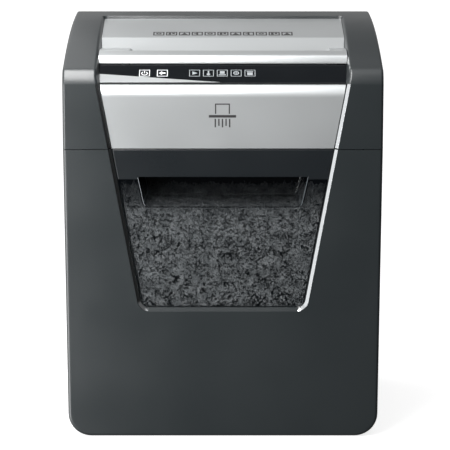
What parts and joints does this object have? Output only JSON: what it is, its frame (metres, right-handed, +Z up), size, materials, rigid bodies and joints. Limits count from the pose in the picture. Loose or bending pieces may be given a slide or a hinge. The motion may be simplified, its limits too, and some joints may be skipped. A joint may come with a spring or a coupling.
{
  "type": "paper shredder",
  "caption": "Deskside paper shredder: motor head with a top paper entry and key panel, over a pull-out bin with a smoked window and a finger pull.",
  "frame": {"origin": "on the floor, under the middle of the machine", "axes": "+X to the right seen from the front, -Y out of the front, +Z up"},
  "size_m": [0.3526, 0.26, 0.45],
  "materials": {
    "shell_grey": "fine satin charcoal ABS",
    "gloss_black": "polished black",
    "silver_trim": "satin silver paint on ABS",
    "chrome_trim": "bright plated edge",
    "black_plastic": "plain black moulding",
    "steel": "machined and zinc plated steel",
    "gear_nylon": "natural nylon",
    "foot_rubber": "moulded rubber",
    "smoked_window": "clear smoked acrylic",
    "circuit_board": "fibreglass board with components",
    "lamp_lens": "frosted clear",
    "shreds": "loose cross-cut office paper"
  },
  "bodies": {
    "cabinet": {"side_panel_left": "shell_grey", "side_panel_right": "shell_grey", "rear_panel": "shell_grey", "head_shell": "shell_grey", "control_panel": "gloss_black", "throat_bezel": "silver_trim", "front_fascia": "silver_trim", "panel_accent": "silver_trim", "head_trim_left": "chrome_trim", "head_trim_right": "chrome_trim", "base_plate": "black_plastic", "runner_left": "black_plastic", "runner_right": "black_plastic", "head_base": "black_plastic", "stripper_comb_front": "black_plastic", "stripper_comb_rear": "black_plastic", "gear_cover": "black_plastic", "paper_guide": "black_plastic", "bin_sensor": "black_plastic", "head_screw_front_left": "steel", "head_screw_front_right": "steel", "head_screw_rear_left": "steel", "head_screw_rear_right": "steel", "bearing_front_left": "steel", "bearing_rear_left": "steel", "bearing_front_right": "steel", "bearing_rear_right": "steel", "side_plate_left": "steel", "side_plate_right": "steel", "tie_bar_front": "steel", "tie_bar_rear": "steel", "idler_axle": "steel", "motor_housing": "steel", "foot_front_left": "foot_rubber", "foot_front_right": "foot_rubber", "foot_rear_left": "foot_rubber", "foot_rear_right": "foot_rubber", "cord_gland": "foot_rubber", "control_board": "circuit_board", "power_board": "circuit_board", "indicator_light_guide": "lamp_lens"},
    "bin": {"bin_front": "shell_grey", "bin_window": "smoked_window", "pull_handle": "gloss_black", "bin_trim_left": "chrome_trim", "bin_trim_right": "chrome_trim", "bin_tub": "black_plastic", "paper_shreds": "shreds"},
    "power_button": {"power_button": "gloss_black"},
    "reverse_button": {"reverse_button": "gloss_black"},
    "front_cutter_shaft": {"front_cutter": "steel", "sync_gear_front": "steel"},
    "rear_cutter_shaft": {"rear_cutter": "steel", "sync_gear_rear": "steel", "drive_gear": "steel"},
    "idler": {"idler_gear": "gear_nylon"},
    "motor_rotor": {"motor_pinion": "steel", "motor_fan": "black_plastic"},
    "sensor_lever": {"paper_sensor_lever": "black_plastic"}
  },
  "joints": [
    {"name": "bin_slide", "type": "slide", "parent": "cabinet", "child": "bin", "axis": [0, -1, 0], "range_m": [0, 0.215]},
    {"name": "power_button_press", "type": "slide", "parent": "cabinet", "child": "power_button", "axis": [0, 0.454, -0.891], "range_m": [0, 0.0008], "stiffness_N_per_m": 800},
    {"name": "reverse_button_press", "type": "slide", "parent": "cabinet", "child": "reverse_button", "axis": [0, 0.454, -0.891], "range_m": [0, 0.0008], "stiffness_N_per_m": 800},
    {"name": "rear_cutter_spin", "type": "hinge", "parent": "cabinet", "child": "rear_cutter_shaft", "pos_m": [0.0075, -0.043, 0.375], "axis": [1, 0, 0], "continuous": true},
    {"name": "front_cutter_spin", "type": "hinge", "parent": "cabinet", "child": "front_cutter_shaft", "pos_m": [0.0075, -0.073, 0.375], "axis": [1, 0, 0], "continuous": true},
    {"name": "idler_spin", "type": "hinge", "parent": "cabinet", "child": "idler", "pos_m": [0.0075, 0.00033, 0.38264], "axis": [1, 0, 0], "continuous": true},
    {"name": "motor_spin", "type": "hinge", "parent": "cabinet", "child": "motor_rotor", "pos_m": [0.0075, 0.0355, 0.3851], "axis": [1, 0, 0], "continuous": true},
    {"name": "sensor_lever_swing", "type": "hinge", "parent": "cabinet", "child": "sensor_lever", "pos_m": [0.0075, -0.05, 0.399], "axis": [1, 0, 0], "range_deg": [0, 32], "stiffness_Nm_per_rad": 0.004}
  ],
  "couplings": [
    {"joint": "front_cutter_spin", "follows": "rear_cutter_spin", "ratio": -1},
    {"joint": "idler_spin", "follows": "rear_cutter_spin", "ratio": -2.6667},
    {"joint": "motor_spin", "follows": "rear_cutter_spin", "ratio": 8.7273}
  ]
}
